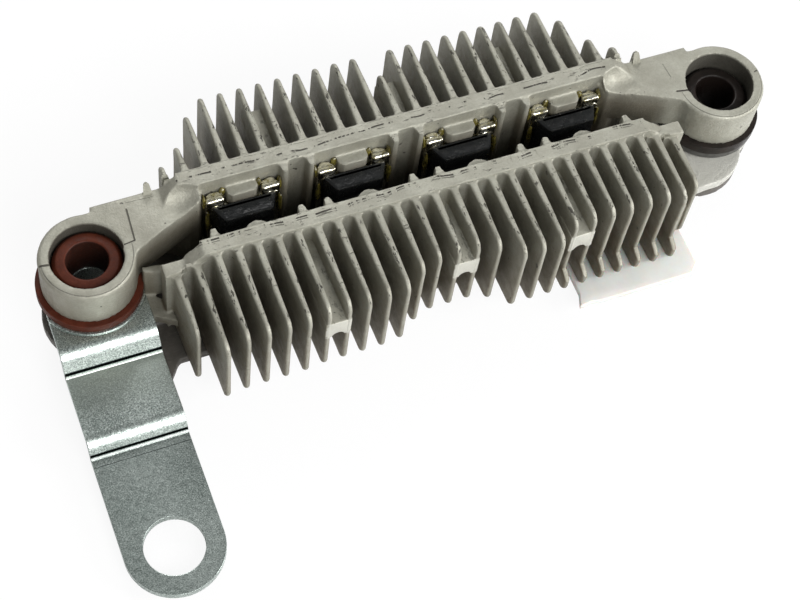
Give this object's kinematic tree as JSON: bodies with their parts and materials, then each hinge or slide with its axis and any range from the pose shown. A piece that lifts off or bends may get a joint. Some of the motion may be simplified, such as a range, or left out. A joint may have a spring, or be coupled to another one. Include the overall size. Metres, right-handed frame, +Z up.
{
  "type": "bridge rectifier",
  "caption": "Alternator bridge rectifier: facing finned cast heat sinks with resin diode modules between, bushed bosses and a joggled strap terminal",
  "frame": {"origin": "midway between the two mounting boss axes, on the seat plane under the bosses", "axes": "+X along the row of fins from the strap to the black bush, +Y towards the back heat sink, +Z up out of the mounting bosses"},
  "size_m": [0.1225, 0.0712, 0.0207],
  "materials": {
    "cast_aluminium": "as cast, matt",
    "red_phenolic": "moulded, satin",
    "black_phenolic": "moulded, satin",
    "washer_grey": "satin",
    "zinc_steel": "zinc plated",
    "carrier_plastic": "moulded, matt",
    "nylon": "translucent",
    "resin": "cast resin, glossy",
    "tinned_copper": "tinned",
    "rivet_steel": "bright"
  },
  "bodies": {
    "root": {"back_heat_sink": "cast_aluminium", "front_heat_sink": "cast_aluminium", "left_bush": "red_phenolic", "right_bush": "black_phenolic", "spacer_washer": "washer_grey", "strap_terminal": "zinc_steel", "carrier": "carrier_plastic", "insulating_plate": "nylon", "module_1_body": "resin", "module_1_back_plate": "tinned_copper", "module_1_front_plate": "tinned_copper", "module_1_lead": "tinned_copper", "ac_terminal_1": "tinned_copper", "rivet_1": "rivet_steel", "module_2_body": "resin", "module_2_back_plate": "tinned_copper", "module_2_front_plate": "tinned_copper", "module_2_lead": "tinned_copper", "ac_terminal_2": "tinned_copper", "rivet_2": "rivet_steel", "module_3_body": "resin", "module_3_back_plate": "tinned_copper", "module_3_front_plate": "tinned_copper", "module_3_lead": "tinned_copper", "ac_terminal_3": "tinned_copper", "rivet_3": "rivet_steel", "module_4_body": "resin", "module_4_back_plate": "tinned_copper", "module_4_front_plate": "tinned_copper", "module_4_lead": "tinned_copper", "ac_terminal_4": "tinned_copper", "rivet_4": "rivet_steel"}
  },
  "joints": []
}
